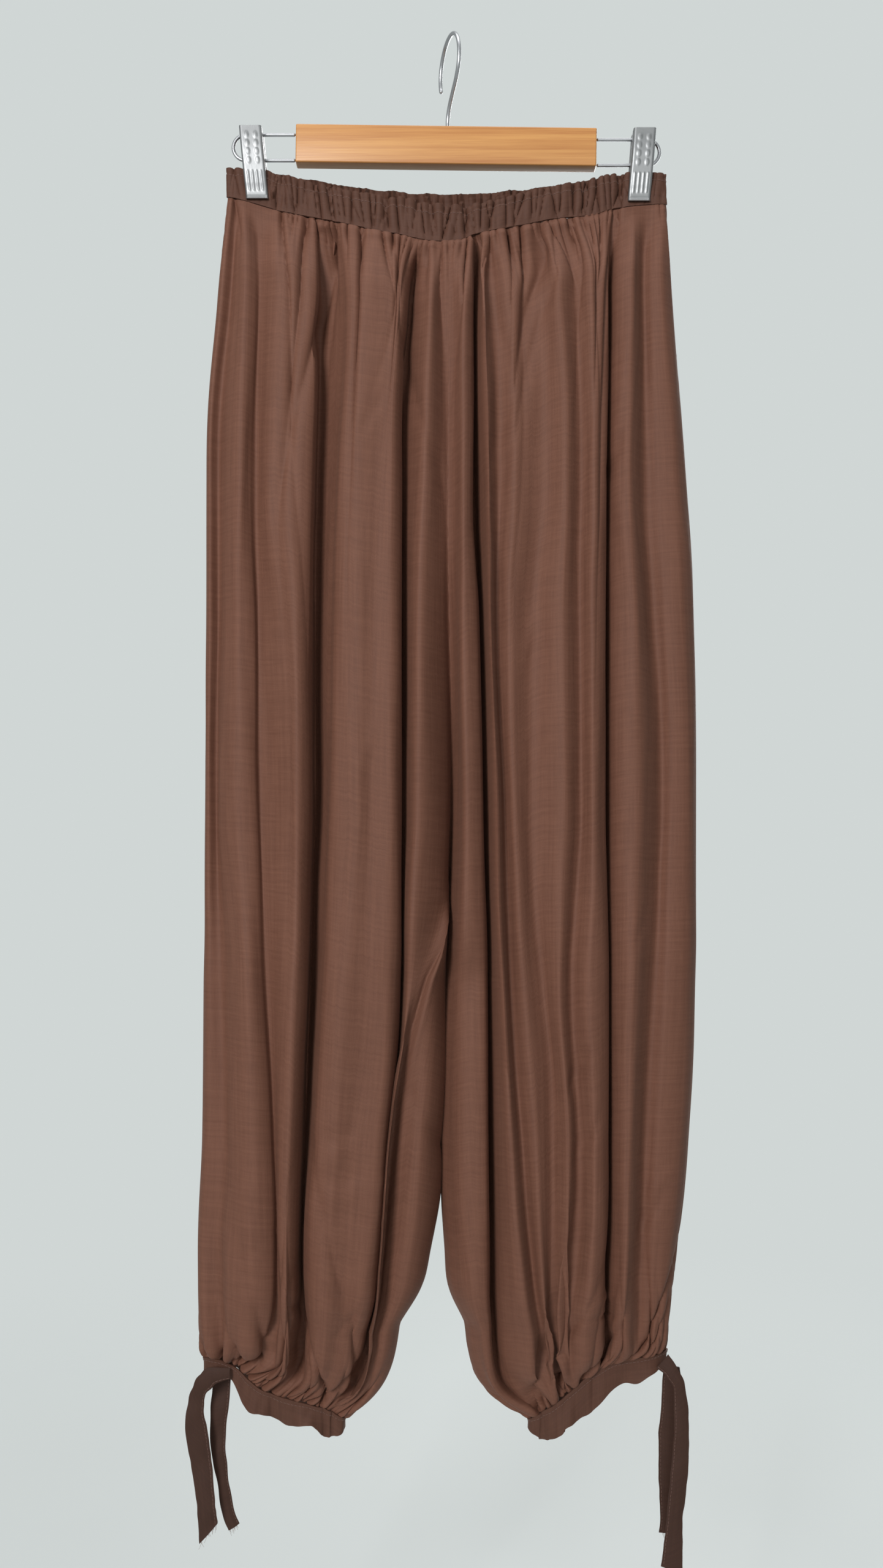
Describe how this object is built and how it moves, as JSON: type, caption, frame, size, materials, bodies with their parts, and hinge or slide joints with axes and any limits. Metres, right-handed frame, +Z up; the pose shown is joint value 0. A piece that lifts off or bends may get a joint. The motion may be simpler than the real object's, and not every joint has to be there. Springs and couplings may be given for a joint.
{
  "type": "harem pants on a clip hanger",
  "caption": "Wide harem trousers with a gathered elastic waist, low crotch, gathered ankle cuffs and ties, hung flat from a wooden clip hanger.",
  "frame": {"origin": "inside of the hook's crown, the line on which a rail bears", "axes": "+Z up along the hanging garment; the front of the garment faces -Y; the wearer's right leg is on the -X side"},
  "size_m": [0.3947, 0.0962, 1.1869],
  "materials": {
    "cloth": "soft brown drapey viscose with a low sheen",
    "bar_wood": "clear satin lacquer on honey-coloured wood",
    "wire": "bright plated steel wire",
    "clip_steel": "bright plated pressed steel"
  },
  "bodies": {
    "root": {"waistband": "cloth", "front_right_top": "cloth", "front_right_middle": "cloth", "front_right_low": "cloth", "front_left_top": "cloth", "front_left_middle": "cloth", "front_left_low": "cloth", "back_right_top": "cloth", "back_right_middle": "cloth", "back_right_low": "cloth", "back_left_top": "cloth", "back_left_middle": "cloth", "back_left_low": "cloth", "cuff_right": "cloth", "cuff_left": "cloth", "tie_right_front": "cloth", "tie_right_back": "cloth", "tie_left_front": "cloth", "tie_left_back": "cloth", "hanger_bar": "bar_wood", "hook": "wire", "side_wire_right": "wire", "side_wire_left": "wire", "clip_right_front": "clip_steel", "clip_right_back": "clip_steel", "clip_left_front": "clip_steel", "clip_left_back": "clip_steel"}
  },
  "joints": []
}
